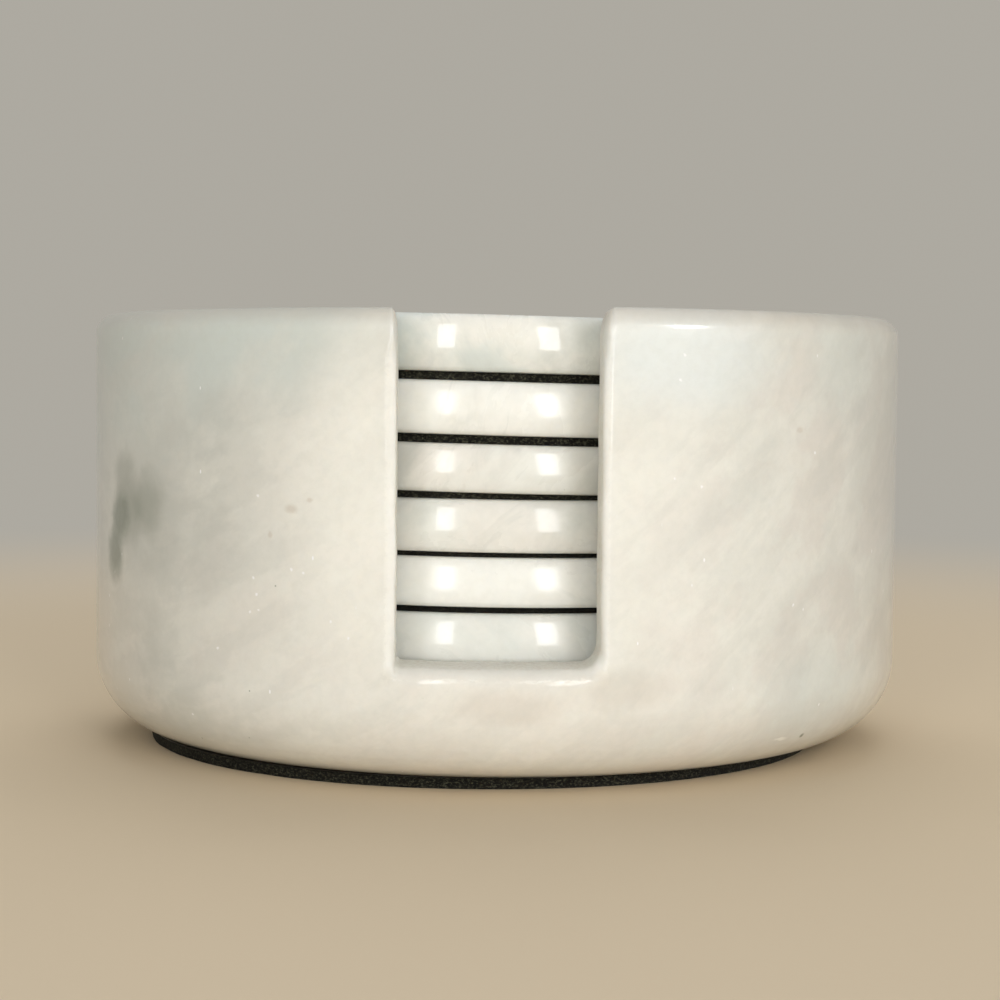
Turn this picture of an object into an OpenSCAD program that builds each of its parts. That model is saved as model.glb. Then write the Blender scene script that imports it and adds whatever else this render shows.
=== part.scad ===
// Round stone drink coasters, stacked in the turned stone bowl that holds them.
// Each coaster is a stone disc with a foam pad stuck under it, and lifts straight out.
// A finger slot through the front of the bowl's wall shows the edges of the stack.
// The origin lies under the middle of the holder, on the surface it stands on, and the slot faces -Y.

/* [Coasters] */
// Diameter of a coaster
coaster_d = 100; // [80:1:120]
// Thickness that the coasters' stone is cut to, before grinding and polishing
coaster_t = 7.2; // [5:0.1:10]
// Radius of the gentle crown around a coaster's edge
coaster_crown_r = 14; // [8:0.5:40]
// Radius of the two softened corners of a coaster's edge
coaster_corner_r = 1; // [0.4:0.1:2]
// Thickness of the foam under a coaster, with nothing on it
pad_t = 1.1; // [0.6:0.1:3]
// How far the foam stays in from where a coaster's underside starts to curve
pad_inset = 0.3; // [0:0.1:5]
// Thickness of the adhesive film that holds each foam pad
film_t = 0.1; // [0.05:0.05:0.3]

/* [Holder] */
// Gap all round between the coasters and the bowl's wall
coaster_gap = 3; // [1:0.5:6]
// Thickness of the bowl's wall
wall_t = 10; // [6:0.5:16]
// Thickness of the stone under the bowl's floor
floor_t = 14.4; // [13:0.1:24]
// How far the rim stands above the stack
rim_rise = 0.9; // [0.5:0.1:10]
// Radius of the outer edge around the holder's foot
foot_r = 12; // [6:0.5:12.5]
// Radius of the rim's outer edge
rim_outer_r = 3; // [2.5:0.1:4]
// Radius of the rim's inner edge
rim_inner_r = 1.2; // [0.5:0.1:1.8]
// Radius of the corner between the bowl's floor and its wall
bowl_corner_r = 1; // [0.5:0.1:3]

/* [Base pad] */
// Thickness of the foam under the holder
base_pad_t = 1.5; // [1:0.1:4]
// Diameter of the foam under the holder
base_pad_d = 105.2; // [80:0.2:108]
// How far the foam under the holder was stuck on to the right of the middle
base_pad_shift = -1.9; // [-3:0.1:3]

/* [Finger slot] */
// Width between the slot's two sides
slot_w = 27.4; // [20:0.1:40]
// How far the slot was cut to the right of the middle
slot_shift = 0.2; // [-3:0.1:3]
// Height of the slot's sill above the bowl's floor
sill_rise = 1.8; // [0.5:0.1:8]
// Radius of the rounded edge around the slot's outside
slot_edge_r = 2; // [1:0.1:2.2]
// Radius of the corner at the sill's left end
left_corner_r = 1; // [1:0.5:6]
// Radius of the corner at the sill's right end
right_corner_r = 2.5; // [1:0.5:6]
// Radius of the two corners where the slot meets the rim
mouth_r = 2.6; // [2.5:0.1:5]

/* [Hidden] */
// Thickness of each coaster's stone, the bottom one first, as a share of coaster_t
coaster_t_shares = [0.975, 0.96, 1.025, 0.94, 1.04, 1.11];
// Foam that the weight above leaves of each pad, the bottom one first, as a share of pad_t
pad_left_shares = [0.68, 0.68, 0.52, 0.68, 1, 1];
count = len(coaster_t_shares);

$fn = 96;
// Steps in which an outline's arcs and the slot's sill are drawn
foot_steps = 16;
edge_steps = 8;
corner_steps = 4;
sill_steps = 8;
// How far a cut runs past the face that it opens
overrun = 0.2;
// Turn at which the slot's rounded edge and mouth run on straight, so that they cross a face and don't graze it
edge_turn = 70;
mouth_turn = 65;

coaster_r = coaster_d / 2;
crown_x = coaster_r - coaster_crown_r;
bowl_r = coaster_r + coaster_gap;
holder_r = bowl_r + wall_t;
base_pad_r = base_pad_d / 2;

base_z = base_pad_t + film_t;
bowl_floor_z = base_z + floor_t;
sill_z = bowl_floor_z + sill_rise;
slot_x = slot_w / 2;

// Thickness of the stone and of the foam of coaster i, counted from the bottom
function stone_t(i) = coaster_t * coaster_t_shares[i - 1];
function foam_t(i) = pad_t * pad_left_shares[i - 1];

// Height of the underside of coaster i, and of its film and its stone
function pad_z(i) = i == 1 ? bowl_floor_z : stone_z(i - 1) + stone_t(i - 1);
function film_z(i) = pad_z(i) + foam_t(i);
function stone_z(i) = film_z(i) + film_t;

rim_z = pad_z(count + 1) + rim_rise;

// Where the crown of an edge of thickness t meets its corners, as the corners' centre and as an angle
function corner_up(t) = t / 2 - coaster_corner_r;
function corner_turn(t) = asin(corner_up(t) / (coaster_crown_r - coaster_corner_r));
function corner_x(t) = crown_x + (coaster_crown_r - coaster_corner_r) * cos(corner_turn(t));

// Radius of the foam and the film under coaster i
function pad_r(i) = corner_x(stone_t(i)) - pad_inset;

// Points along an arc, from one angle to another
function arc(centre, r, from, to, steps) =
    [for (i = [0 : steps]) let (a = from + (to - from) * i / steps) centre + r * [cos(a), sin(a)]];

// Half section of a coaster's stone of thickness t
function stone_outline(t) = concat(
    [[0, 0]],
    arc([corner_x(t), coaster_corner_r], coaster_corner_r, -90, -corner_turn(t), corner_steps),
    arc([crown_x, t / 2], coaster_crown_r, -corner_turn(t), corner_turn(t), edge_steps),
    arc([corner_x(t), t - coaster_corner_r], coaster_corner_r, corner_turn(t), 90, corner_steps),
    [[0, t]]
);

// Half section of the bowl before the slot is cut
function bowl_outline() = concat(
    [[0, base_z]],
    arc([holder_r - foot_r, base_z + foot_r], foot_r, -90, 0, foot_steps),
    arc([holder_r - rim_outer_r, rim_z - rim_outer_r], rim_outer_r, 0, 90, edge_steps),
    arc([bowl_r + rim_inner_r, rim_z - rim_inner_r], rim_inner_r, 90, 180, corner_steps),
    arc([bowl_r - bowl_corner_r, bowl_floor_z + bowl_corner_r], bowl_corner_r, 0, -90, corner_steps),
    [[0, bowl_floor_z]]
);

// The slot seen from the front and grown by d, from its top left down, along the sill and up again
mouth_x = slot_x + mouth_r;
mouth_z = rim_z - mouth_r;
slot_top = rim_z + overrun;
function slot_top_x(d) =
    let (r = mouth_r - d)
    mouth_x - r * cos(mouth_turn) + (slot_top - mouth_z - r * sin(mouth_turn)) * tan(mouth_turn);
function sill_points(d) =
    let (from = left_corner_r - slot_x, to = slot_x - right_corner_r)
    [for (i = [1 : sill_steps - 1]) [from + (to - from) * i / sill_steps, sill_z - d]];
function slot_outline(d) = concat(
    [[-slot_top_x(d), slot_top]],
    arc([-mouth_x, mouth_z], mouth_r - d, mouth_turn, 0, corner_steps),
    arc([left_corner_r - slot_x, sill_z + left_corner_r], left_corner_r + d, 180, 270, edge_steps),
    sill_points(d),
    arc([slot_x - right_corner_r, sill_z + right_corner_r], right_corner_r + d, 270, 360, edge_steps),
    arc([mouth_x, mouth_z], mouth_r - d, 180, 180 - mouth_turn, corner_steps),
    [[slot_top_x(d), slot_top]]
);

// The slot's outline in its place, bent round the holder's axis at distance r from it
function slot_ring(r, d) =
    [for (p = slot_outline(d)) let (x = p[0] + slot_shift) [x, -sqrt(r * r - x * x), p[1]]];

// Rings from the axis out to past the wall, which grow where they form the slot's rounded edge
edge_foot_r = holder_r - slot_edge_r;
edge_last = overrun + slot_edge_r * (1 - sin(edge_turn));
slot_rings = concat(
    [[for (p = slot_outline(0)) [p[0] + slot_shift, 0, p[1]]]],
    [for (i = [0 : edge_steps]) let (a = edge_turn * i / edge_steps)
        slot_ring(edge_foot_r + slot_edge_r * sin(a), slot_edge_r * (1 - cos(a)))],
    [slot_ring(holder_r + overrun, slot_edge_r * (1 - cos(edge_turn)) + edge_last * tan(edge_turn))]
);

// One closed solid through all rings, its ends closed around a point each
module slot_cutter() {
    rings = len(slot_rings);
    n = len(slot_rings[0]);
    near = rings * n;
    far = near + 1;
    ends = [[slot_shift, 0, mouth_z], [slot_shift, -holder_r - slot_x, mouth_z]];
    points = concat([for (ring = slot_rings) each ring], ends);
    sides = [for (k = [0 : rings - 2]) for (i = [0 : n - 1])
        let (a = k * n + i, b = k * n + (i + 1) % n)
        each [[a, a + n, b + n], [a, b + n, b]]];
    near_end = [for (i = [0 : n - 1]) [near, i, (i + 1) % n]];
    far_end = [for (i = [0 : n - 1]) [far, near - n + (i + 1) % n, near - n + i]];
    polyhedron(points, concat(sides, near_end, far_end));
}

module disc(r, t, z) {
    translate([0, 0, z])
    cylinder(r = r, h = t);
}

module holder() {
    color("whitesmoke")
    difference() {
        rotate_extrude()
        polygon(bowl_outline());
        slot_cutter();
    }
}

module base_adhesive() {
    color("dimgray")
    translate([base_pad_shift, 0, 0])
    disc(base_pad_r, film_t, base_pad_t);
}

module base_pad() {
    color([0.1, 0.1, 0.1])
    translate([base_pad_shift, 0, 0])
    disc(base_pad_r, base_pad_t, 0);
}

module coaster_stone(i) {
    color("ivory")
    translate([0, 0, stone_z(i)])
    rotate_extrude()
    polygon(stone_outline(stone_t(i)));
}

module coaster_adhesive(i) {
    color("dimgray")
    disc(pad_r(i), film_t, film_z(i));
}

module coaster_pad(i) {
    color([0.1, 0.1, 0.1])
    disc(pad_r(i), foam_t(i), pad_z(i));
}

holder();
base_adhesive();
base_pad();
for (i = [1 : count]) {
    coaster_stone(i);
    coaster_adhesive(i);
    coaster_pad(i);
}
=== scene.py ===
"""Round marble coasters with foam pads, stacked in the marble bowl that holds them.

Every length is in metres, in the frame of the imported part: +Z is up and the finger slot faces -Y.
"""

import math

import bmesh
import bpy
from mathutils import Color, Matrix, Vector, noise


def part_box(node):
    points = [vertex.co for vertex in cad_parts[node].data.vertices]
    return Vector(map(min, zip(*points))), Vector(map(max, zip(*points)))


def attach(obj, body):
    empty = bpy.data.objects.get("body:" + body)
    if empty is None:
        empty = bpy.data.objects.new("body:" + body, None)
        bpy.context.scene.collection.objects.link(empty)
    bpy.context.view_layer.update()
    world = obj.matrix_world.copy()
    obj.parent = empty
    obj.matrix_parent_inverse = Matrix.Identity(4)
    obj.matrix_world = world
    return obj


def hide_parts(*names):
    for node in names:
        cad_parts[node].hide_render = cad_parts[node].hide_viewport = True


bl_info = {
    "name": "Marble Coaster Set",
    "version": (1, 0, 0),
    "blender": (4, 5, 0),
    "location": "View3D > Sidebar > Coasters",
    "description": "Builds six marble coasters with foam pads in their marble bowl holder",
    "category": "Add Mesh",
}

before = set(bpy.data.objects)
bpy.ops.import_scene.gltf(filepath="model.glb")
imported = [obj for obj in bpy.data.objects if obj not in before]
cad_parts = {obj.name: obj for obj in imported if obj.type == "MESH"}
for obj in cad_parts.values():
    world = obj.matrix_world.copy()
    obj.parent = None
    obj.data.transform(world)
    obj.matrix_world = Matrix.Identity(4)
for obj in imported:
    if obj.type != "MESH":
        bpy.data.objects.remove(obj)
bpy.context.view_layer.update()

MM = 0.001
SNAP = 0.01 * MM
X, Y, Z = range(3)
COUNT = 6

# How light enters the marble: not far, and red the furthest
TRANSLUCENCE = {
    "subsurface_weight": 0.45,
    "subsurface_radius": (1, 0.9, 0.8),
    "subsurface_scale": 5 * MM,
}
SPARKLE = (1, 1, 1, 1)

FLOOR_RADIUS = 6
FLOOR_DROP = 0.02 * MM
# Where the floor's colour starts to change to the backdrop's, and where it has
FLOOR_FADE = (0.14, 0.5)
LAMP_DISTANCE = 1.2
# Where each lamp stands, as an azimuth and an elevation in degrees, and its width and height in metres
LAMPS = {
    "window": (13, 15, 1.5, 0.7),
    "left_strip": (-17, 11, 0.125, 0.62),
    "right_strip": (17.8, 11, 0.145, 0.62),
    "top_light": (180, 58, 1, 1),
    "far_strip": (52, 17.5, 0.18, 0.24),
}
SENSOR_WIDTH = 36
NEAREST_SEEN = 0.01

STONES = [f"coaster_{i}_stone" for i in range(1, COUNT + 1)]
FILMS = ["base_adhesive"] + [f"coaster_{i}_adhesive" for i in range(1, COUNT + 1)]
PADS = ["base_pad"] + [f"coaster_{i}_pad" for i in range(1, COUNT + 1)]


def low(node):
    """Height of the underside of a CAD node."""
    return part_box(node)[0].z


def top(node):
    """Height of the top of a CAD node."""
    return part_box(node)[1].z


def reach(node):
    """Radius of a CAD node that is round about an upright axis."""
    return (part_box(node)[1].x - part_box(node)[0].x) / 2


def centre_of(node):
    """Where the upright axis of a round CAD node stands."""
    lowest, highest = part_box(node)
    return Vector(((lowest.x + highest.x) / 2, (lowest.y + highest.y) / 2, 0))


def body_of(node):
    """The CAD body that a node belongs to."""
    return "holder" if node.startswith(("holder", "base")) else node[: len("coaster_1")]


# Sizes and colours that a user would change


def length(name, value, description):
    """A length that a user can set, in metres."""
    return bpy.props.FloatProperty(
        name=name, default=value, description=description, unit="LENGTH", min=0, precision=5
    )


def factor(name, value, description):
    """A plain number that a user can set."""
    return bpy.props.FloatProperty(name=name, default=value, description=description, min=0)


def colour(name, value, description):
    """A colour that a user can set, as the screen shows it."""
    return bpy.props.FloatVectorProperty(
        name=name, default=value, description=description, subtype="COLOR_GAMMA", min=0, max=1
    )


class HolderSizes(bpy.types.PropertyGroup):
    """Sizes of the bowl that holds the coasters."""

    wall: length("Wall", 10 * MM, "Thickness of the bowl's wall")
    foot_radius: length("Foot radius", 12 * MM, "Radius of the outer edge around the foot")
    bowl_corner: length("Bowl corner", 1 * MM, "Radius between the bowl's floor and its wall")
    slot_width: length("Slot width", 27.45 * MM, "Width between the finger slot's two sides")
    slot_shift: length("Slot shift", 0.22 * MM, "How far the slot is to the right of the middle")
    flare: length("Flare", 0.2 * MM, "How far the slot's right side opens towards the front")
    toe: length("Toe", 0.3 * MM, "How far the slot's left side closes towards the front")
    sill_rise: length("Sill rise", 1.8 * MM, "Height of the slot's sill above the bowl's floor")
    left_corner: length("Left corner", 1 * MM, "Radius at the sill's left end")
    right_corner: length("Right corner", 2.5 * MM, "Radius at the sill's right end")
    mouth: length("Mouth", 2.6 * MM, "Radius where the slot meets the rim")
    outer_edge: length("Outer edge", 2 * MM, "Radius of the edge around the slot's outside")
    inner_edge: length("Inner edge", 0.7 * MM, "Radius of the edge around the slot's inside")
    left_share: factor("Left share", 0.9, "Width of the slot's left edge, as a share")
    left_mouth_share: factor("Left mouth share", 0.35, "Width of that edge at the rim, as a share")
    right_share: factor("Right share", 0.66, "Width of the slot's right edge, as a share")
    left_depth: factor("Left depth", 0.4, "Depth of the slot's left edge, as a share")
    right_depth: factor("Right depth", 0.5, "Depth of the slot's right edge, as a share")
    rim_share: factor("Rim share", 1.5, "Size of the rim's edge, as a share")
    rim_dip: length("Rim dip", 0.3 * MM, "How much lower the rim is at the left")
    waver: length("Waver", 0.12 * MM, "How far the slot's edges stray from their lines")
    grid: length("Grid", 1.7 * MM, "Size of the mesh's faces on the walls")


class CoasterSizes(bpy.types.PropertyGroup):
    """Sizes of the coasters' stone."""

    crown: length("Crown", 14 * MM, "Radius of the gentle crown around the edge")
    corner: length("Corner", 1 * MM, "Radius of the two softened corners of the edge")
    steps: bpy.props.IntProperty(name="Steps", default=192, description="Faces around a coaster")
    crown_rises: bpy.props.FloatVectorProperty(
        name="Crown rises",
        default=[rise * MM for rise in (-1.5, -1.5, -0.9, -0.7, -0.75, -0.3)],
        description="How far each edge's widest place lies above the middle, the bottom one first",
        unit="LENGTH",
        size=COUNT,
    )
    leans: bpy.props.FloatVectorProperty(
        name="Leans",
        default=[math.radians(a) for a in (0.25, 0.4, 0.5, 1.1, 1.15, 1.1)],
        description="How far each coaster leans down to the right, the bottom one first",
        unit="ROTATION",
        size=COUNT,
    )


class FoamSizes(bpy.types.PropertyGroup):
    """Sizes of the foam pads."""

    corner: length("Corner", 0.12 * MM, "Radius of the foam's two cut edges")
    waver: length("Waver", 0.12 * MM, "How far the cut edge strays from a true circle")
    steps: bpy.props.IntProperty(name="Steps", default=256, description="Faces around a pad")


class StoneColours(bpy.types.PropertyGroup):
    """Colours of the marble, the foam and its adhesive."""

    cream: colour("Cream", (0.94, 0.935, 0.9), "Ground of the marble")
    warm: colour("Warm", (0.89, 0.855, 0.82), "Pinkish clouds in the marble")
    cool: colour("Cool", (0.83, 0.86, 0.84), "Greenish clouds in the marble")
    pale: colour("Pale", (0.9, 0.925, 0.92), "Bluish white clouds in the marble")
    # Also the painted highlight on the slot's glossy chips, and partly painted light on its ground edges
    white: colour("White", (0.975, 0.97, 0.935), "The whitest coasters, and ground stone")
    # Also painted shade: it darkens the rim's top and tints the slot's ground lower edge
    stain_and_shade: colour("Stain", (0.72, 0.65, 0.56), "Small brownish spots in the marble")
    grey: colour("Grey", (0.73, 0.74, 0.71), "Grey-green streaks in the marble")
    dark: colour("Dark", (0.5, 0.53, 0.47), "Darkest patch in the marble")
    foam: colour("Foam", (0.045, 0.042, 0.034), "Foam pads")
    fleck: colour("Fleck", (0.4, 0.4, 0.33), "Pale flecks in the foam")
    film: colour("Film", (0.1, 0.095, 0.08), "Clear adhesive, darkened by the foam behind it")


class StageSettings(bpy.types.PropertyGroup):
    """The floor, the lamps and the camera."""

    floor: colour("Floor", (0.88, 0.81, 0.7), "Floor near the object")
    backdrop: colour("Backdrop", (0.68, 0.665, 0.63), "Backdrop, and the floor far away")
    fill: factor("Fill", 0.3, "Strength of the soft light all round")
    window: factor("Window", 8.6, "Power of the broad soft lamp in front, in watts")
    top_light: factor("Top light", 5.5, "Power of the broad soft lamp above and behind, in watts")
    left_strip: factor("Left strip", 1.5, "Power of the tall lamp at the left, in watts")
    right_strip: factor("Right strip", 2, "Power of the tall lamp at the right, in watts")
    far_strip: factor("Far strip", 4, "Power of the small lamp at the far right, in watts")
    camera_distance: length("Camera distance", 352 * MM, "From the lens to the bowl's axis")
    camera_height: length("Camera height", 56.6 * MM, "Height of the lens")
    look_down: bpy.props.FloatProperty(
        name="Look down", default=0.0559, description="Tilt of the camera", subtype="ANGLE"
    )
    look_right: bpy.props.FloatProperty(
        name="Look right", default=0.0019, description="Turn of the camera", subtype="ANGLE"
    )
    roll: bpy.props.FloatProperty(
        name="Roll", default=0.0088, description="Clockwise turn of the picture", subtype="ANGLE"
    )
    lens: bpy.props.FloatProperty(name="Lens", default=79.2, description="Focal length in millimetres")


# Modelling helpers


def arc(bm, vert, centre, angle, steps):
    """Draws an arc in the XZ plane, anticlockwise seen from the front, and returns its last vertex."""
    spun = bmesh.ops.spin(
        bm,
        geom=[vert],
        cent=(centre[0], 0, centre[1]),
        axis=(0, -1, 0),
        angle=angle,
        steps=steps,
    )
    return next(g for g in spun["geom_last"] if isinstance(g, bmesh.types.BMVert))


def line(bm, vert, *places):
    """Draws straight on from vert through places in the XZ plane and returns the last vertex."""
    for x, z in places:
        vert = bmesh.ops.extrude_vert_indiv(bm, verts=[vert])["verts"][0]
        vert.co = (x, 0, z)
    return vert


def turn(bm, steps):
    """Spins the drawn profile into a closed round body."""
    bmesh.ops.spin(
        bm,
        geom=bm.verts[:] + bm.edges[:],
        axis=(0, 0, 1),
        angle=2 * math.pi,
        steps=steps,
        use_merge=True,
    )
    bmesh.ops.remove_doubles(bm, verts=bm.verts[:], dist=SNAP)
    bmesh.ops.recalc_face_normals(bm, faces=bm.faces[:])


def cut(bm, axis, place, faces=None):
    """Cuts faces, or the whole mesh, where a coordinate has a given value."""
    normal = Vector()
    normal[axis] = 1
    if faces is None:
        parts = bm.verts[:] + bm.edges[:] + bm.faces[:]
    else:
        edges = {e for f in faces for e in f.edges}
        verts = {v for f in faces for v in f.verts}
        parts = [*faces, *edges, *verts]
    bmesh.ops.bisect_plane(bm, geom=parts, dist=SNAP, plane_co=normal * place, plane_no=normal)


def at(part, axis, place):
    """True if all corners of an edge or a face have that coordinate."""
    return all(abs(v.co[axis] - place) < SNAP for v in part.verts)


def round_off(bm, edges, radius, segments):
    """Rounds edges with an arc of that radius."""
    bmesh.ops.bevel(
        bm,
        geom=edges,
        offset=radius,
        offset_type="OFFSET",
        segments=segments,
        profile=0.5,
        affect="EDGES",
        clamp_overlap=False,
        material=-1,
    )


def fade(value, start, end):
    """Smoothly from 0 at start to 1 at end."""
    share = max(0.0, min(1.0, (value - start) / (end - start)))
    return share * share * (3 - 2 * share)


def stretch(distance, zone, share):
    """Scales a distance up to zone by share, and leaves what lies beyond three zones alone."""
    if distance <= zone:
        return distance * share
    if distance >= 3 * zone:
        return distance
    return zone * share + (distance - zone) * (3 - share) / 2


def lean(bm, places):
    """Lowers each height to the right by its slope, and the heights between by one between."""
    for vert in bm.verts:
        low_z, low_slope = places[0]
        for high_z, high_slope in places[1:]:
            if vert.co.z <= high_z + SNAP:
                break
            low_z, low_slope = high_z, high_slope
        share = max(0.0, min(1.0, (vert.co.z - low_z) / (high_z - low_z)))
        vert.co.z -= vert.co.x * (low_slope + share * (high_slope - low_slope))


def add_piece(name, bm, material, node):
    """Makes a mesh object that stands for a CAD node and rides on its body."""
    mesh = bpy.data.meshes.new(name)
    bm.to_mesh(mesh)
    bm.free()
    mesh.shade_smooth()
    mesh.materials.append(material)
    piece = bpy.data.objects.new(name, mesh)
    bpy.context.scene.collection.objects.link(piece)
    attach(piece, body_of(node))
    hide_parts(node)
    return piece


# Materials


def linear(shown):
    """The colour that the shader needs for one given as the screen shows it."""
    return (*Color(shown).from_srgb_to_scene_linear(), 1)


class Signal:
    """A node's output, for use as a number in Python expressions."""

    def __init__(self, finish, socket):
        self.finish = finish
        self.socket = socket

    def __add__(self, other):
        return self.finish.maths("ADD", self, other)

    def __sub__(self, other):
        return self.finish.maths("SUBTRACT", self, other)

    def __rsub__(self, other):
        return self.finish.maths("SUBTRACT", other, self)

    def __mul__(self, other):
        return self.finish.maths("MULTIPLY", self, other)

    __radd__ = __add__
    __rmul__ = __mul__


class Finish:
    """A material, and the nodes that it is made of."""

    def __init__(self, tree):
        self.tree = tree
        self.tree.nodes.clear()
        self.place = self.node("ShaderNodeTexCoord", output="Object")

    @classmethod
    def named(cls, name):
        """A finish for a new material of that name."""
        material = bpy.data.materials.new(name)
        material.use_nodes = True
        made = cls(material.node_tree)
        made.material = material
        return made

    def node(self, kind, settings=(), inputs=(), output=None):
        """Adds a node, sets it up, fills its sockets with values or links, and returns an output."""
        node = self.tree.nodes.new(kind)
        for key, value in dict(settings).items():
            setattr(node, key, value)
        for key, value in dict(inputs).items():
            sockets = [s for s in node.inputs if s.enabled and s.name == key]
            socket = sockets[0] if isinstance(key, str) else node.inputs[key]
            if isinstance(value, Signal):
                self.tree.links.new(value.socket, socket)
            else:
                socket.default_value = value
        outputs = [s for s in node.outputs if s.enabled and output in (None, s.name)]
        return Signal(self, outputs[0]) if outputs else None

    def maths(self, operation, a, b=0.0):
        return self.node("ShaderNodeMath", {"operation": operation}, {0: a, 1: b})

    def ramp(self, value, start, end, first=0.0, last=1.0):
        """A smooth step from first to last while value goes from start to end."""
        inputs = {"Value": value, "From Min": start, "From Max": end, "To Min": first, "To Max": last}
        return self.node("ShaderNodeMapRange", {"interpolation_type": "SMOOTHSTEP"}, inputs)

    def mix(self, share, a, b, blend="MIX"):
        """Mixes two colours."""
        settings = {"data_type": "RGBA", "blend_type": blend}
        return self.node("ShaderNodeMix", settings, {"Factor": share, "A": a, "B": b})

    def moved(self, offset=(0, 0, 0), turn=(0, 0, 0), stretch=(1, 1, 1)):
        """The object's own coordinates for a pattern that is moved, turned and stretched."""
        inputs = {"Vector": self.place, "Location": offset, "Rotation": turn, "Scale": stretch}
        return self.node("ShaderNodeMapping", {"vector_type": "TEXTURE"}, inputs)

    def painted(self, name):
        """A number that the mesh's corners carry."""
        return self.node("ShaderNodeAttribute", {"attribute_name": name}, (), "Fac")

    def clouds(self, vector, size, detail=3.0, roughness=0.5, distortion=0.0, output="Fac"):
        """Fractal noise with features of that size in metres."""
        inputs = {
            "Vector": vector,
            "Scale": 1 / size,
            "Detail": detail,
            "Roughness": roughness,
            "Distortion": distortion,
        }
        return self.node("ShaderNodeTexNoise", {}, inputs, output)

    def axes(self, vector):
        """The three numbers of a vector."""
        return [self.node("ShaderNodeSeparateXYZ", {}, {"Vector": vector}, name) for name in "XYZ"]

    def specks(self, size, reach, share, seed, stretch=(1, 1, 1)):
        """1 at the middle of scattered cells, in that share of them, and 0 elsewhere."""
        inputs = {"Vector": self.moved(offset=seed, stretch=stretch), "Scale": 1 / size}
        distance = self.node("ShaderNodeTexVoronoi", {}, inputs, "Distance")
        tint = self.node("ShaderNodeTexVoronoi", {}, inputs, "Color")
        chosen = self.maths("LESS_THAN", self.axes(tint)[0], share)
        return self.ramp(distance, reach, reach / 2) * chosen

    def bump(self, height, distance, strength=1.0, under=None):
        """A surface that rises by distance where height is 1."""
        inputs = {"Height": height, "Distance": distance, "Strength": strength}
        if under:
            inputs["Normal"] = under
        return self.node("ShaderNodeBump", {}, inputs)

    def seen(self):
        """1 where the camera looks, also by way of a reflection or through glass, and 0 for light."""
        camera, glossy, through = (
            self.node("ShaderNodeLightPath", output=f"Is {kind} Ray")
            for kind in ("Camera", "Glossy", "Transmission")
        )
        return self.maths("MINIMUM", camera + glossy + through, 1)

    def surface(self, **sockets):
        """The material's one shader."""
        names = {key: key.replace("_", " ").title().replace("Ior", "IOR") for key in sockets}
        inputs = {names[key]: value for key, value in sockets.items()}
        shader = self.node("ShaderNodeBsdfPrincipled", {}, inputs)
        self.node("ShaderNodeOutputMaterial", {}, {"Surface": shader})


def blob(f, vector, centre, radii):
    """1 inside an ellipsoid, which is given in millimetres, fading to 0 outside it."""
    offset = f.node(
        "ShaderNodeVectorMath", {"operation": "SUBTRACT"}, {0: vector, 1: Vector(centre) * MM}
    )
    shares = f.node(
        "ShaderNodeVectorMath", {"operation": "DIVIDE"}, {0: offset, 1: Vector(radii) * MM}
    )
    distance = f.node("ShaderNodeVectorMath", {"operation": "LENGTH"}, {0: shares}, "Value")
    return f.ramp(distance, 1.25, 0.35)


def with_spots(f, vector, tint, spots):
    """A tint with soft spots, each given as a centre and radii in millimetres, a colour and a share."""
    for centre, radii, shade, share in spots:
        tint = f.mix(blob(f, vector, centre, radii) * share, tint, shade)
    return tint


def distance_to(f, vector, places):
    """How far it is, in metres, to the nearest of the places, which are given in millimetres."""
    nearest = 1.0
    for place in places:
        inputs = {0: vector, 1: Vector(place) * MM}
        distance = f.node("ShaderNodeVectorMath", {"operation": "DISTANCE"}, inputs, "Value")
        nearest = f.maths("MINIMUM", distance, nearest)
    return nearest


def swayed(f, amount, size):
    """The object's own coordinates, swayed by soft noise."""
    sway = f.clouds(f.place, size, 5, 0.6, output="Color")
    centred = f.node(
        "ShaderNodeVectorMath", {"operation": "SUBTRACT"}, {0: sway, 1: (0.5, 0.5, 0.5)}
    )
    scaled = f.node(
        "ShaderNodeVectorMath", {"operation": "SCALE"}, {0: centred, "Scale": amount}
    )
    return f.node("ShaderNodeVectorMath", {"operation": "ADD"}, {0: f.place, 1: scaled})


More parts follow.
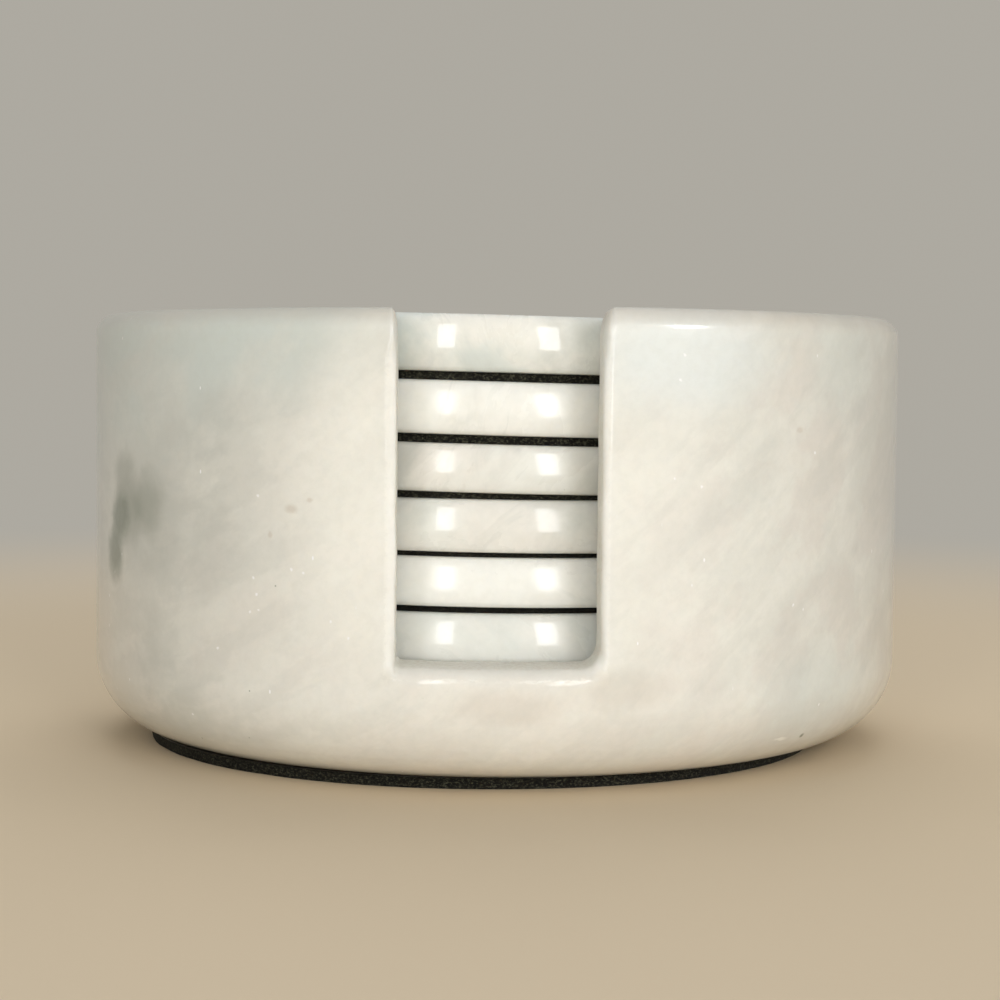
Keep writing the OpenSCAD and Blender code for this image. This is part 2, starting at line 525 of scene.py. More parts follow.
def holder_marble():
    """The bowl's marble: cream, with grey streaks that rise to the right and a dark patch at the left.

    It is polished, and dull where the mesh is painted as sawn: in the slot and around its edge.
    """
    tints = bpy.context.scene.stone_colours
    f = Finish.named("holder_marble")
    cream, warm, cool, grey = (linear(c) for c in (tints.cream, tints.warm, tints.cool, tints.grey))
    dark, pale, white, stain_and_shade = (
        linear(c) for c in (tints.dark, tints.pale, tints.white, tints.stain_and_shade)
    )
    x, _, z = f.axes(f.place)
    sway = f.clouds(f.place, 22 * MM, 4, 0.6) - 0.5

    # Fractal noise on beds that rise to the right
    bed_turn = (0.25, math.radians(-40), 0.15)
    streaks = f.clouds(f.moved((0.1, 0.2, 0.3), bed_turn, (3.5, 2.5, 1)), 5 * MM, 6, 0.6, 0.2)
    veins = f.clouds(f.moved((0.4, 0.1, 0.2), bed_turn, (2.5, 2, 1)), 15 * MM, 6, 0.58, 0.3)
    mottle = f.clouds(f.moved((0.7, 0.3, 0.5), bed_turn, (1.5, 1.2, 1)), 9 * MM, 6, 0.6)
    drift = f.clouds(f.moved((0.3, 0.1, 0.7)), 24 * MM, 5, 0.6, 0.3)

    # The left of the bowl is greyer, partly its stone and partly painted shade, the right is a little
    # pink, and the top is cooler in streaks, more so at the left
    leftwards = f.ramp(x - z * 0.32 + sway * (24 * MM), -22 * MM, -58 * MM)
    rightwards = f.ramp(x + sway * (30 * MM), 14 * MM, 46 * MM)
    upwards = f.ramp(z - x * 0.45 + sway * (18 * MM), 59 * MM, 76 * MM)

    tint = f.mix(f.ramp(mottle, 0.46, 0.6) * (0.12 + rightwards * 0.3), cream, warm)
    tint = f.mix(f.ramp(drift, 0.46, 0.6) * (0.2 + leftwards * 0.1), tint, warm)
    tint = f.mix(f.ramp(veins, 0.45, 0.6) * (0.08 + leftwards * 0.35 + rightwards * 0.14), tint, grey)
    tint = f.mix(f.ramp(streaks, 0.46, 0.57) * (0.1 + leftwards * 0.1 + rightwards * 0.04), tint, grey)
    # Grey at both sides, most at the left: partly the stone's own, partly painted shade that darkens the
    # sides
    tint = f.mix(leftwards * 0.28 + rightwards * 0.15, tint, grey)
    streaky = f.ramp(veins, 0.4, 0.56, 0.5, 1.0)
    tint = f.mix(upwards * streaky * (0.45 + leftwards * 0.5), tint, cool)
    # Larger patches: the dark one at the left, the pale and the cool ones, and stains near the foot
    patches = (
        ((-44, -45, 47), (7, 8, 4), grey, 0.2),
        ((-37, -51, 52), (7, 8, 3.5), grey, 0.2),
        ((-50, -38, 36), (9, 11, 13), grey, 0.4),
        ((-50, -38.3, 38), (4.6, 6, 5.2), dark, 0.45),
        ((-52.6, -34.6, 36.5), (3.6, 5, 5), dark, 0.35),
        ((-54, -32.3, 42), (3.4, 5, 4.2), dark, 0.4),
        ((-54.9, -31, 36), (3, 5.2, 4.2), dark, 0.9),
        ((-55.9, -29, 30.5), (2.8, 4.4, 4.8), dark, 0.9),
        ((-19, -60, 38), (9, 12, 26), white, 0.6),
        ((25, -57, 60), (16, 16, 9), pale, 0.7),
        ((50, -38, 60), (12, 14, 11), cool, 0.4),
        ((46, -42, 12), (13, 14, 8), cool, 0.4),
        ((2, -63, 12.6), (10, 8, 2.6), stain_and_shade, 0.18),
        ((17, -60.7, 15), (8, 8, 3), stain_and_shade, 0.18),
    )
    tint = with_spots(f, swayed(f, 4 * MM, 5 * MM), tint, patches)
    # Brownish spots, and a pit with the chip beside it at the lower right
    marks = (
        ((-27.5, -56.7, 38.6), (1.1, 1.5, 0.7), stain_and_shade, 0.35),
        ((-24.9, -57.9, 39.9), (0.5, 0.6, 0.4), stain_and_shade, 0.3),
        ((-30.5, -55.1, 35), (0.4, 0.5, 0.5), stain_and_shade, 0.3),
        ((42.1, -46.9, 49.6), (0.8, 0.8, 0.5), stain_and_shade, 0.25),
        ((43.8, -41.5, 6.1), (0.5, 0.5, 0.45), dark, 1),
        ((40.3, -45, 6.1), (1.5, 1.5, 0.3), white, 1),
    )
    frayed = swayed(f, 0.8 * MM, 1.2 * MM)
    tint = with_spots(f, frayed, tint, marks)
    grain = f.clouds(f.place, 1.4 * MM, 5, 0.65)
    tint = f.mix(f.ramp(grain, 0.35, 0.7, 0.0, 0.1), tint, grey)
    # Faint glints in flawed places, and then the ones in the photograph, the left wall's first
    flawed = f.ramp(f.clouds(f.moved((0.5, 0.2, 0.1)), 12 * MM, 2), 0.48, 0.54)
    glints = f.specks(1.5 * MM, 0.12, 0.15, (0.01, 0.02, 0.03), (1, 1, 2)) * flawed
    tint = f.mix(glints, tint, SPARKLE)
    seen_glints = (
        (-32.3, -54.1, 40.3),
        (-32.9, -53.7, 28.9),
        (-32.5, -54, 26.8),
        (-33.4, -53.4, 24.3),
        (-32.1, -54.2, 24.7),
        (-27.4, -56.7, 30.5),
        (-25.8, -57.5, 30.1),
        (-38.1, -50.1, 18.9),
        (-22, -59, 23.7),
        (-19.6, -59.9, 21.6),
        (-42.2, -45.4, 8.9),
        (25.1, -57.8, 59.7),
        (24.6, -58, 56.4),
        (23.9, -58.3, 43.3),
        (27.7, -56.6, 42.1),
        (44.6, -44.5, 46.4),
        (41.5, -47.4, 25.3),
    )
    glints = f.ramp(distance_to(f, frayed, seen_glints), 0.3 * MM, 0.1 * MM, 0, 0.8)
    tint = f.mix(glints, tint, SPARKLE)
    pits = f.specks(4 * MM, 0.045, 0.2, (0.05, 0.01, 0.02))
    tint = f.mix(pits * 0.6, tint, dark)

    ground = f.painted("ground")
    sawn = f.painted("sawn")
    # Glossy chips along the slot's lower edge and its right corner, painted white as a highlight too
    chips_and_painted_highlight = 0.0
    for centre, radii in (
        ((-6.6, -62.6, 16.3), (2.6, 1.5, 0.35)),
        ((-3.6, -62.9, 16.4), (1.4, 1.5, 0.2)),
        ((6.4, -62.7, 16.3), (3.4, 1.5, 0.25)),
        ((10.4, -62.1, 16.3), (2, 1.5, 0.2)),
        ((12.1, -61.8, 16.8), (0.7, 1.2, 0.4)),
        ((13.3, -61.6, 18.4), (0.5, 1.2, 0.9)),
    ):
        chips_and_painted_highlight = f.maths("MAXIMUM", blob(f, frayed, centre, radii), chips_and_painted_highlight)
    splinters = f.clouds(f.moved(stretch=(2.5, 2.5, 1)), 0.5 * MM, 4, 0.6)
    chips_and_painted_highlight = chips_and_painted_highlight * f.ramp(splinters, 0.43, 0.56)
    tooth = f.clouds(f.place, 0.6 * MM, 5, 0.7)
    dust = f.ramp(tooth, 0.44, 0.64)
    facets = f.ramp(f.clouds(f.moved((0.2, 0.1, 0)), 1.3 * MM, 3, 0.6), 0.52, 0.58)

    # Painted light and shade on the slot's ground edges and on the rim, and dust on sawn stone
    # Ground stone is paler, partly its own matte finish and partly painted light, more on the slot's
    # sides than on its up-facing lower edge
    tint = f.mix(ground * f.ramp(z, 16.5 * MM, 18 * MM, 0.1, 0.4), tint, white)
    # Painted shade: the rim's top is darker, as little light falls on it from above
    tint = f.mix(f.ramp(z, 62.5 * MM, 65.4 * MM) * 0.35, tint, stain_and_shade)
    tint = f.mix(f.ramp(sawn, 0.8, 1.0) * dust * 0.2, tint, stain_and_shade)
    # Painted shade: the ground lower edge, which faces up into the cool fill light, is tinted a little
    # brownish
    tint = f.mix(ground * f.ramp(z, 18.5 * MM, 17 * MM) * 0.12, tint, stain_and_shade)
    # Painted highlight: the chips are mixed towards white
    tint = f.mix(chips_and_painted_highlight * 0.8, tint, white)
    polished = f.ramp(veins, 0.3, 0.7, 0.3, 0.4)
    coated = f.ramp(ground - facets * (1 - sawn) * 0.7, 0.5, 0.1)
    swell = f.clouds(f.place, 9 * MM, 2, 0.5)
    smooth = f.bump(1 - pits, 0.05 * MM, 0.6, f.bump(swell, 0.04 * MM, 0.5))
    f.surface(
        base_color=tint,
        roughness=polished + (1 - chips_and_painted_highlight) * ground * (0.2 + dust * 0.25) - chips_and_painted_highlight * 0.15,
        coat_weight=f.ramp(drift, 0.3, 0.7, 1.0, 0.85) * f.maths("MAXIMUM", coated, chips_and_painted_highlight),
        coat_roughness=0.1,
        normal=f.bump(tooth * ground, 0.12 * MM, 0.8, smooth),
        **TRANSLUCENCE,
    )
    return f.material


def coaster_marble(number):
    """A coaster's marble, polished. Each coaster comes from another block."""
    tints = bpy.context.scene.stone_colours
    f = Finish.named(f"coaster_marble_{number}")
    warm, cool, grey = (linear(c) for c in (tints.warm, tints.cool, tints.grey))
    seed = (0.11 * number, 0.07 * number, 0.23 * number)
    bedding = f.moved(seed, (0.3 * number, 0.7, 0.9 * number), (2.5, 1.5, 1))
    bands = f.clouds(bedding, 9 * MM, 6, 0.6, 0.3)
    drift = f.clouds(f.moved(seed), 16 * MM, 4, 0.55, 0.4)
    # The ground of each coaster, its warm, cool and grey clouds, and its polish, the bottom one first
    ground, warm_share, cool_share, grey_share, polish = (
        (tints.cream, 0.1, 0.4, 0.15, 0.07),
        (tints.white, 0.1, 0.0, 0.04, 0.11),
        (tints.cream, 0.3, 0.3, 0.35, 0.08),
        (tints.cream, 0.5, 0.1, 0.5, 0.09),
        (tints.white, 0.1, 0.0, 0.04, 0.11),
        (tints.cream, 0.05, 0.8, 0.35, 0.05),
    )[number - 1]
    tint = f.mix(f.ramp(drift, 0.4, 0.65) * warm_share, linear(ground), warm)
    tint = f.mix(f.ramp(drift, 0.6, 0.35) * cool_share, tint, cool)
    tint = f.mix(f.ramp(bands, 0.45, 0.65) * grey_share, tint, grey)
    fold = f.maths("ABSOLUTE", f.clouds(bedding, 14 * MM, 5, 0.55, 0.6) - 0.5)
    tint = f.mix(f.ramp(fold, 0.03, 0.0) * f.ramp(drift, 0.42, 0.6) * 0.16, tint, grey)
    grain = f.clouds(f.place, 1.6 * MM, 4, 0.6)
    tint = f.mix(f.ramp(grain, 0.3, 0.7, 0.0, 0.1), tint, grey)
    pits = f.specks(6 * MM, 0.035, 0.3, seed)
    tint = f.mix(pits * 0.6, tint, grey)
    swell = f.clouds(f.place, 4 * MM, 3, 0.55)
    f.surface(
        base_color=tint,
        roughness=f.ramp(bands, 0.3, 0.7, 0.25, 0.34),
        coat_weight=f.ramp(drift, 0.3, 0.7, 1.0, 0.85),
        coat_roughness=polish,
        normal=f.bump(1 - pits, 0.04 * MM, 0.6, f.bump(swell, 0.03 * MM, 0.6)),
        **TRANSLUCENCE,
    )
    return f.material


def foam():
    """Black closed-cell foam with pale flecks: some on the base and the lower pads, and more on the
    upper pads, as painted light.
    """
    tints = bpy.context.scene.stone_colours
    f = Finish.named("black_foam")
    cells = f.node(
        "ShaderNodeTexVoronoi",
        {"feature": "SMOOTH_F1"},
        {"Vector": f.place, "Scale": 1 / (0.35 * MM), "Smoothness": 0.4},
        "Distance",
    )
    grime = f.clouds(f.moved(stretch=(1.6, 1.6, 1)), 0.25 * MM, 6, 0.75)
    _, _, z = f.axes(f.place)
    # More flecks higher up stand for the light that falls on the upper pads: painted light
    flecks_and_painted_light = f.ramp(z, 24 * MM, 44 * MM, 0.12, 0.5) + f.ramp(z, 6 * MM, 2 * MM, 0.0, 0.35)
    flecks = f.ramp(grime, 0.48, 0.64) * flecks_and_painted_light
    tint = f.mix(flecks, linear(tints.foam), linear(tints.fleck))
    f.surface(
        base_color=tint,
        roughness=f.ramp(grime, 0.3, 0.7, 0.75, 0.95),
        specular_ior_level=0.2,
        normal=f.bump(cells, 0.12 * MM, 0.8),
    )
    return f.material


def film():
    """Clear adhesive film, dark with the foam behind it."""
    tints = bpy.context.scene.stone_colours
    f = Finish.named("adhesive_film")
    ripple = f.clouds(f.place, 3 * MM, 3, 0.6)
    tint = f.mix(f.ramp(ripple, 0.35, 0.7) * 0.5, linear(tints.film), linear(tints.foam))
    f.surface(
        base_color=tint,
        roughness=f.ramp(ripple, 0.3, 0.7, 0.3, 0.45),
        normal=f.bump(ripple, 0.02 * MM, 0.4),
    )
    return f.material


# Operators, one for each piece or group of like pieces


class BuildHolder(bpy.types.Operator):
    """Build the marble bowl with its finger slot"""

    bl_idname = "coaster_set.build_holder"
    bl_label = "Holder"

    LARGE_ARC = 20
    MEDIUM_ARC = 8
    SMALL_ARC = 4
    # Where the edges change to the rim's shape, as depths below the rim
    RIM_ZONE = (8 * MM, 3 * MM)
    # Where they change from the sill's shape to the sides', as heights above the sill
    SILL_ZONE = (1 * MM, 5 * MM)

    def execute(self, context):
        self.sizes = context.scene.holder_sizes
        self.radius = reach("holder")
        self.bowl_radius = self.radius - self.sizes.wall
        self.rim = top("holder")
        self.base = low("holder")
        self.floor = low(PADS[1])
        self.sill = self.floor + self.sizes.sill_rise
        self.slot_x = self.sizes.slot_width / 2
        self.left = self.sizes.slot_shift - self.slot_x
        self.right = self.sizes.slot_shift + self.slot_x
        self.half_turn = math.pi * self.radius
        bm = bmesh.new()
        self.draw_bar(bm)
        self.open_slot(bm)
        self.round_edges(bm)
        self.cut_grid(bm)
        self.paint_sawn(bm)
        self.bend(bm)
        add_piece("marble_holder", bm, holder_marble(), "holder")
        return {"FINISHED"}

    def draw_bar(self, bm):
        """Draws the bowl's half section along X, as if the bowl were unrolled: Y is minus the radius."""
        section = [
            (0, self.base),
            (self.radius, self.base),
            (self.radius, self.rim),
            (self.bowl_radius, self.rim),
            (self.bowl_radius, self.floor),
            (0, self.floor),
        ]
        face = bm.faces.new([bm.verts.new((-self.half_turn, -r, z)) for r, z in section])
        swept = bmesh.ops.extrude_face_region(bm, geom=[face])
        moved = [g for g in swept["geom"] if isinstance(g, bmesh.types.BMVert)]
        bmesh.ops.translate(bm, verts=moved, vec=(2 * self.half_turn, 0, 0))

    def open_slot(self, bm):
        """Takes the wall away between the slot's sides, and closes the sides and the sill."""
        for x in (self.left, self.right):
            cut(bm, X, x)
        middle = [f for f in bm.faces if self.left < f.calc_center_median().x < self.right]
        cut(bm, Z, self.sill, middle)
        opened = []
        for face in bm.faces:
            centre = face.calc_center_median()
            in_wall = centre.y < SNAP - self.bowl_radius and centre.z > self.sill
            if in_wall and self.left < centre.x < self.right:
                opened.append(face)
        bmesh.ops.delete(bm, geom=opened, context="FACES")

        def corner(x, radius, z):
            place = Vector((x, -radius, z))
            return min(bm.verts, key=lambda v: (v.co - place).length)

        outer, inner = self.radius, self.bowl_radius
        for x in (self.left, self.right):
            ends = [(outer, self.sill), (outer, self.rim), (inner, self.rim), (inner, self.sill)]
            bm.faces.new([corner(x, r, z) for r, z in ends])
        ends = [(self.left, outer), (self.right, outer), (self.right, inner), (self.left, inner)]
        bm.faces.new([corner(x, r, self.sill) for x, r in ends])
        bmesh.ops.dissolve_limit(
            bm, angle_limit=math.radians(1), verts=bm.verts[:], edges=bm.edges[:]
        )
        bmesh.ops.recalc_face_normals(bm, faces=bm.faces[:])

    def round_edges(self, bm):
        """Rounds the slot's corners, then every edge that shows."""
        sizes = self.sizes
        for x, z, radius in (
            (self.left, self.sill, sizes.left_corner),
            (self.right, self.sill, sizes.right_corner),
            (self.left, self.rim, sizes.mouth),
            (self.right, self.rim, sizes.mouth),
        ):
            upright = [e for e in bm.edges if at(e, X, x) and at(e, Z, z)]
            round_off(bm, upright, radius, self.MEDIUM_ARC)
        for wall_radius, low_z, radius, segments in (
            (self.radius, self.base, sizes.outer_edge, self.MEDIUM_ARC),
            (self.bowl_radius, self.floor, sizes.inner_edge, self.SMALL_ARC),
        ):
            chain = [
                e
                for e in bm.edges
                if at(e, Y, -wall_radius)
                and not at(e, Z, low_z)
                and not at(e, X, -self.half_turn)
                and not at(e, X, self.half_turn)
            ]
            round_off(bm, chain, radius, segments)
        foot = [e for e in bm.edges if at(e, Y, -self.radius) and at(e, Z, self.base)]
        round_off(bm, foot, sizes.foot_radius, self.LARGE_ARC)
        corner = [e for e in bm.edges if at(e, Y, -self.bowl_radius) and at(e, Z, self.floor)]
        round_off(bm, corner, sizes.bowl_corner, self.SMALL_ARC)
        ends = [f for f in bm.faces if at(f, X, -self.half_turn) or at(f, X, self.half_turn)]
        axis = [f for f in bm.faces if at(f, Y, 0)]
        bmesh.ops.delete(bm, geom=ends + axis, context="FACES")

    def cut_grid(self, bm):
        """Cuts the long faces, so that they can follow the bend."""
        grid = self.sizes.grid
        columns = round(2 * self.half_turn / grid)
        for i in range(1, columns):
            cut(bm, X, -self.half_turn + 2 * self.half_turn * i / columns)
        rows = round((self.rim - self.base) / grid)
        for i in range(1, rows):
            cut(bm, Z, self.base + (self.rim - self.base) * i / rows)
        rings = round(self.radius / (3 * grid))
        for i in range(1, rings):
            cut(bm, Y, -self.radius * i / rings)

    def paint_sawn(self, bm):
        """Paints the slot's edges as ground and its sides and sill as sawn too."""
        sizes = self.sizes
        ground = bm.verts.layers.float.new("ground")
        sawn = bm.verts.layers.float.new("sawn")
        for vert in bm.verts:
            x, radius, z = vert.co.x, -vert.co.y, vert.co.z
            past = max(self.left - x, x - self.right, self.sill - z)
            from_front = fade(self.radius - radius, 0, sizes.outer_edge)
            from_bowl = fade(radius - self.bowl_radius, 0, sizes.inner_edge)
            vert[ground] = from_bowl * (1 - fade(past, 0.55 * sizes.outer_edge, sizes.outer_edge))
            vert[sawn] = min(from_front, vert[ground])

    def bend(self, bm):
        """Shapes the edges as they are on each side, by hand, and rolls the bar up."""
        sizes = self.sizes
        ground = bm.verts.layers.float["ground"]
        for vert in bm.verts:
            x, radius, z = vert.co.x, -vert.co.y, vert.co.z
            place = vert.co / (2.5 * sizes.outer_edge)
            near_rim = fade(z, *[self.rim - depth for depth in self.RIM_ZONE])
            through = max(0, radius - self.bowl_radius) / sizes.wall
            if x < self.left + SNAP:
                beyond = 1 - fade(self.left - x, sizes.mouth, 3 * sizes.mouth)
                share = sizes.left_share + near_rim * (sizes.left_mouth_share - sizes.left_share)
                x = self.left - stretch(self.left - x, sizes.mouth, share)
                x += sizes.toe * beyond * through
            if x > self.right - SNAP:
                beyond = 1 - fade(x - self.right, sizes.mouth, 3 * sizes.mouth)
                x = self.right + stretch(x - self.right, sizes.mouth, sizes.right_share)
                x += sizes.flare * beyond * through
            above_sill = fade(z, *[self.sill + height for height in self.SILL_ZONE])
            side_share = sizes.left_depth if x < sizes.slot_shift else sizes.right_depth
            depth_share = 1 + above_sill * (side_share - 1)
            depth_share += near_rim * (sizes.rim_share - depth_share)
            if radius > self.radius - 3 * sizes.outer_edge:
                radius = self.radius - stretch(self.radius - radius, sizes.outer_edge, depth_share)
            z = self.rim - stretch(self.rim - z, sizes.mouth, sizes.rim_share)
            x += vert[ground] * noise.noise(place) * sizes.waver
            z += vert[ground] * (1 - near_rim) * noise.noise(place + Vector((7, 7, 7))) * sizes.waver
            near_slot = 1 - fade(abs(x), self.slot_x + 3 * sizes.mouth, 2.5 * self.slot_x)
            in_wall = fade(radius, 0.75 * self.bowl_radius, self.bowl_radius - sizes.bowl_corner)
            angle = x / self.radius
            if near_slot * in_wall > 0:
                angle += near_slot * in_wall * (math.asin(x / radius) - angle)
            vert.co = (radius * math.sin(angle), -radius * math.cos(angle), z)
            vert.co.z -= near_rim * sizes.rim_dip * fade(-vert.co.x, -self.slot_x, self.slot_x)
        bmesh.ops.remove_doubles(bm, verts=bm.verts[:], dist=SNAP)
        bmesh.ops.recalc_face_normals(bm, faces=bm.faces[:])


class BuildCoasters(bpy.types.Operator):
    """Build the stone of the six coasters"""

    bl_idname = "coaster_set.build_coasters"
    bl_label = "Coasters"

    def execute(self, context):
        sizes = context.scene.coaster_sizes
        for number, node in enumerate(STONES, 1):
            bm = bmesh.new()
            widest = (low(node) + top(node)) / 2 + sizes.crown_rises[number - 1]
            self.draw_profile(bm, sizes, reach(node), low(node), widest, top(node))
            turn(bm, sizes.steps)
            slope = math.tan(sizes.leans[number - 1])
            lean(bm, [(low(node), slope), (top(node), slope)])
            add_piece(
                f"marble_coaster_{number}", bm, coaster_marble(number), node
            )
        return {"FINISHED"}

    def draw_profile(self, bm, sizes, radius, bottom, widest, top_z):
        """Draws the half section: flat faces, soft corners and a crowned edge."""
        crown_x = radius - sizes.crown
        inner = sizes.crown - sizes.corner
        down = math.asin((widest - bottom - sizes.corner) / inner)
        up = math.asin((top_z - sizes.corner - widest) / inner)
        low_x = crown_x + inner * math.cos(down)
        high_x = crown_x + inner * math.cos(up)
        shares = (0.3, 0.6, 0.85, 0.96, 1.0)
        start = bm.verts.new((0, 0, bottom))
        vert = line(bm, start, *[(low_x * share, bottom) for share in shares])
        vert = arc(bm, vert, (low_x, bottom + sizes.corner), math.pi / 2 - down, 6)
        vert = arc(bm, vert, (crown_x, widest), down + up, 14)
        vert = arc(bm, vert, (high_x, top_z - sizes.corner), math.pi / 2 - up, 6)
        line(bm, vert, *[(high_x * share, top_z) for share in shares[-2::-1]], (0, top_z))


class BuildFoam(bpy.types.Operator):
    """Build the foam pads and their adhesive films under the coasters and the holder"""

    bl_idname = "coaster_set.build_foam"
    bl_label = "Foam pads"

    def execute(self, context):
        sizes = context.scene.foam_sizes
        foam_finish = foam()
        film_finish = film()
        slopes = [math.tan(angle) for angle in (0, *context.scene.coaster_sizes.leans)]
        for number, (pad, sheet) in enumerate(zip(PADS, FILMS)):
            # Foam under a coaster is wedged between the lean of what it lies on and the coaster's
            below, above = (slopes[max(0, number - 1)], slopes[number])
            places = [(low(pad), below), (top(pad), above), (top(sheet), above)]
            bm = bmesh.new()
            self.draw_pad(bm, sizes, reach(pad), low(pad), top(pad))
            turn(bm, sizes.steps)
            self.fray(bm, sizes, reach(pad))
            self.seat(bm, pad, places)
            piece = add_piece(f"foam_{pad}", bm, foam_finish, pad)
            bm = bmesh.new()
            self.draw_film(bm, reach(sheet) - sizes.waver, low(sheet), top(sheet))
            turn(bm, sizes.steps)
            self.seat(bm, sheet, places)
            add_piece(f"film_{sheet}", bm, film_finish, sheet)
        return {"FINISHED"}

    def seat(self, bm, node, places):
        """Moves a piece to its axis and leans it."""
        bmesh.ops.translate(bm, verts=bm.verts[:], vec=centre_of(node))
        lean(bm, places)

    def draw_film(self, bm, radius, bottom, top_z):
        """Draws the half section of a thin sheet."""
        start = bm.verts.new((0, 0, bottom))
        half = (top_z - bottom) / 2
        vert = line(bm, start, (0.5 * radius, bottom), (radius - half, bottom))
        vert = arc(bm, vert, (radius - half, bottom + half), math.pi, 4)
        line(bm, vert, (0.5 * radius, top_z), (0, top_z))

    def draw_pad(self, bm, sizes, radius, bottom, top_z):
        """Draws the half section of a thin disc whose cut edge bulges a little."""
        corner = sizes.corner
        edge_x = radius - sizes.waver - corner
        start = bm.verts.new((0, 0, bottom))
        vert = line(bm, start, (0.6 * edge_x, bottom), (0.95 * edge_x, bottom), (edge_x, bottom))
        vert = arc(bm, vert, (edge_x, bottom + corner), math.pi / 2, 4)
        height = top_z - bottom - 2 * corner
        rises = [bottom + corner + height * share for share in (0.25, 0.5, 0.75, 1.0)]
        vert = line(bm, vert, *[(edge_x + corner, z) for z in rises])
        vert = arc(bm, vert, (edge_x, top_z - corner), math.pi / 2, 4)
        line(bm, vert, (0.95 * edge_x, top_z), (0.6 * edge_x, top_z), (0, top_z))

    def fray(self, bm, sizes, radius):
        """Moves the cut edge in and out, as a knife leaves it."""
        for vert in bm.verts:
            flat = Vector((vert.co.x, vert.co.y, 0))
            if flat.length < 0.97 * radius:
                continue
            wander = noise.noise(vert.co / (4 * MM)) + 0.5 * noise.noise(vert.co / (0.9 * MM))
            vert.co += flat.normalized() * max(-1, min(1, wander)) * sizes.waver


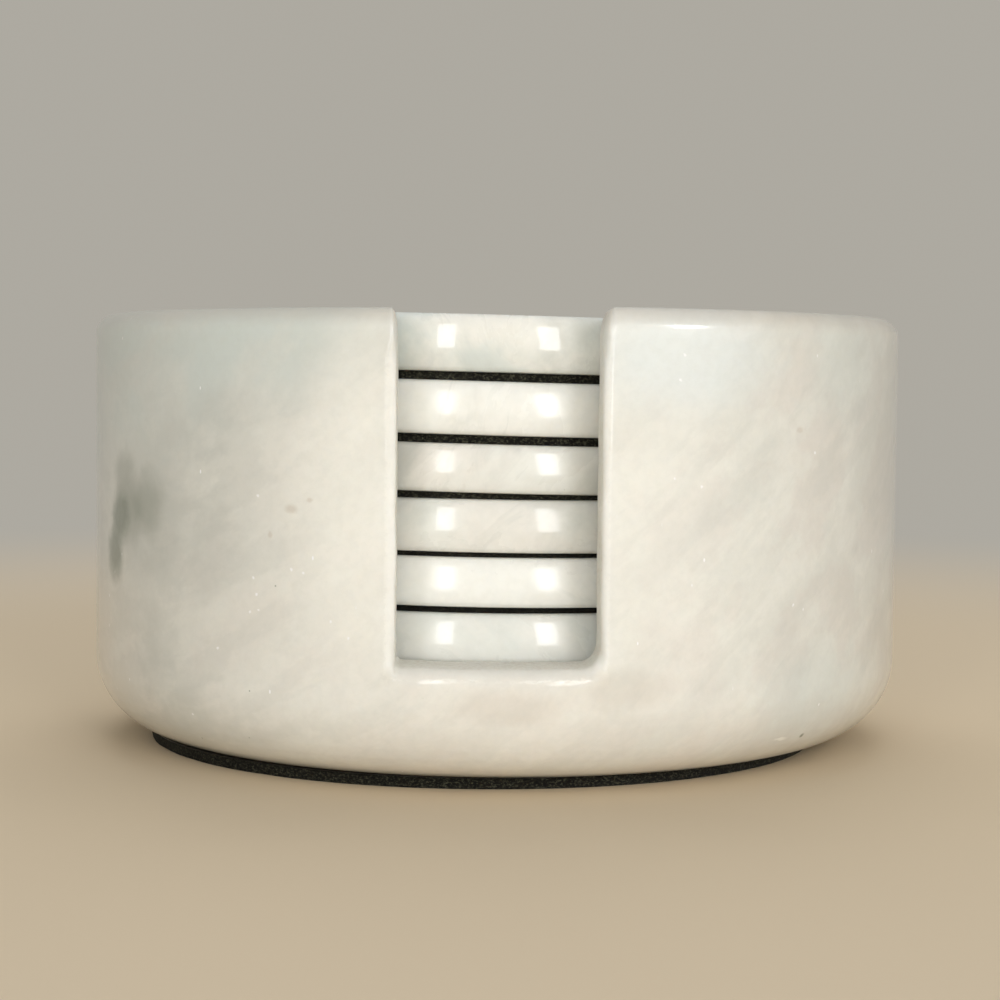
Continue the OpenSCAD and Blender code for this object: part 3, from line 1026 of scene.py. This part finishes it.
class BuildStage(bpy.types.Operator):
    """Build the floor, the backdrop, the lamps and the camera"""

    bl_idname = "coaster_set.build_stage"
    bl_label = "Stage"

    def execute(self, context):
        settings = context.scene.stage_settings
        self.add_floor(context, settings)
        self.add_world(context, settings)
        lamps = {
            name: self.add_lamp(context, name, *place, getattr(settings, name))
            for name, place in LAMPS.items()
        }
        # The broad lamps would hide the narrow ones' highlights if the stone mirrored them
        lamps["window"].visible_glossy = False
        lamps["top_light"].visible_glossy = False
        # This one is there for its highlight on the rim alone
        lamps["far_strip"].visible_diffuse = False
        self.add_camera(context, settings)
        context.scene.view_settings.view_transform = "Standard"
        return {"FINISHED"}

    def add_floor(self, context, settings):
        """A round floor whose colour far away is the backdrop's."""
        bm = bmesh.new()
        bmesh.ops.create_circle(bm, cap_ends=True, segments=64, radius=FLOOR_RADIUS)
        bmesh.ops.translate(bm, verts=bm.verts[:], vec=(0, 0, -FLOOR_DROP))
        mesh = bpy.data.meshes.new("floor")
        bm.to_mesh(mesh)
        bm.free()
        f = Finish.named("floor")
        diffuse = f.node("ShaderNodeBsdfDiffuse", {}, {"Color": linear(settings.floor)})
        plain = f.node("ShaderNodeEmission", {}, {"Color": linear(settings.backdrop)})
        distance = f.node(
            "ShaderNodeVectorMath", {"operation": "LENGTH"}, {0: f.place}, "Value"
        )
        share = f.ramp(distance, *FLOOR_FADE) * f.seen()
        shader = f.node("ShaderNodeMixShader", {}, {0: share, 1: diffuse, 2: plain})
        f.node("ShaderNodeOutputMaterial", {}, {"Surface": shader})
        mesh.materials.append(f.material)
        floor = bpy.data.objects.new("floor", mesh)
        context.scene.collection.objects.link(floor)

    def add_world(self, context, settings):
        """Soft light from all round, and a plain backdrop where the camera or a reflection sees it."""
        world = bpy.data.worlds.new("backdrop")
        world.use_nodes = True
        context.scene.world = world
        f = Finish(world.node_tree)
        light = f.node(
            "ShaderNodeBackground", {}, {"Color": (0.97, 0.985, 1, 1), "Strength": settings.fill}
        )
        plain = f.node("ShaderNodeBackground", {}, {"Color": linear(settings.backdrop)})
        shader = f.node("ShaderNodeMixShader", {}, {0: f.seen(), 1: light, 2: plain})
        f.node("ShaderNodeOutputWorld", {}, {"Surface": shader})

    def add_lamp(self, context, name, azimuth, elevation, width, height, power):
        """A flat lamp that faces the object from that direction, in degrees."""
        data = bpy.data.lights.new(name, "AREA")
        data.shape = "RECTANGLE"
        data.size = width
        data.size_y = height
        data.energy = power
        lamp = bpy.data.objects.new(name, data)
        a, e = math.radians(azimuth), math.radians(elevation)
        back = Vector((math.sin(a) * math.cos(e), -math.cos(a) * math.cos(e), math.sin(e)))
        lamp.location = back * LAMP_DISTANCE
        lamp.rotation_euler = (-back).to_track_quat("-Z", "Y").to_euler()
        context.scene.collection.objects.link(lamp)
        return lamp

    def add_camera(self, context, settings):
        """A camera at the given place, looking along +Y, down a little and rolled a little."""
        data = bpy.data.cameras.new("camera")
        data.sensor_width = SENSOR_WIDTH
        data.lens = settings.lens
        data.clip_start = NEAREST_SEEN
        camera = bpy.data.objects.new("camera", data)
        down, right_turn, roll = settings.look_down, settings.look_right, settings.roll
        ahead = Vector(
            (
                math.sin(right_turn) * math.cos(down),
                math.cos(right_turn) * math.cos(down),
                -math.sin(down),
            )
        )
        right = Vector((math.cos(right_turn), -math.sin(right_turn), 0))
        up = right.cross(ahead)
        axes = (
            math.cos(roll) * right + math.sin(roll) * up,
            math.cos(roll) * up - math.sin(roll) * right,
            -ahead,
        )
        camera.matrix_world = Matrix.Translation(
            (0, -settings.camera_distance, settings.camera_height)
        ) @ Matrix(axes).transposed().to_4x4()
        context.scene.collection.objects.link(camera)
        context.scene.camera = camera


class CoasterPanel(bpy.types.Panel):
    """Lists the steps that build the set"""

    bl_idname = "VIEW3D_PT_coaster_set"
    bl_label = "Coaster set"
    bl_space_type = "VIEW_3D"
    bl_region_type = "UI"
    bl_category = "Coasters"

    def draw(self, context):
        for operator in OPERATORS:
            self.layout.operator(operator.bl_idname)
        for group in GROUPS:
            box = self.layout.box()
            for name in GROUPS[group].__annotations__:
                box.prop(getattr(context.scene, group), name)


OPERATORS = (BuildHolder, BuildCoasters, BuildFoam, BuildStage)
GROUPS = {
    "holder_sizes": HolderSizes,
    "coaster_sizes": CoasterSizes,
    "foam_sizes": FoamSizes,
    "stone_colours": StoneColours,
    "stage_settings": StageSettings,
}


def register():
    for cls in (*GROUPS.values(), *OPERATORS, CoasterPanel):
        bpy.utils.register_class(cls)
    for group, cls in GROUPS.items():
        setattr(bpy.types.Scene, group, bpy.props.PointerProperty(type=cls))


def unregister():
    for group in GROUPS:
        delattr(bpy.types.Scene, group)
    for cls in reversed((*GROUPS.values(), *OPERATORS, CoasterPanel)):
        bpy.utils.unregister_class(cls)


def main():
    """Builds every piece and the stage."""
    register()
    bpy.ops.coaster_set.build_holder()
    bpy.ops.coaster_set.build_coasters()
    bpy.ops.coaster_set.build_foam()
    bpy.ops.coaster_set.build_stage()


if __name__ == "__main__":
    main()
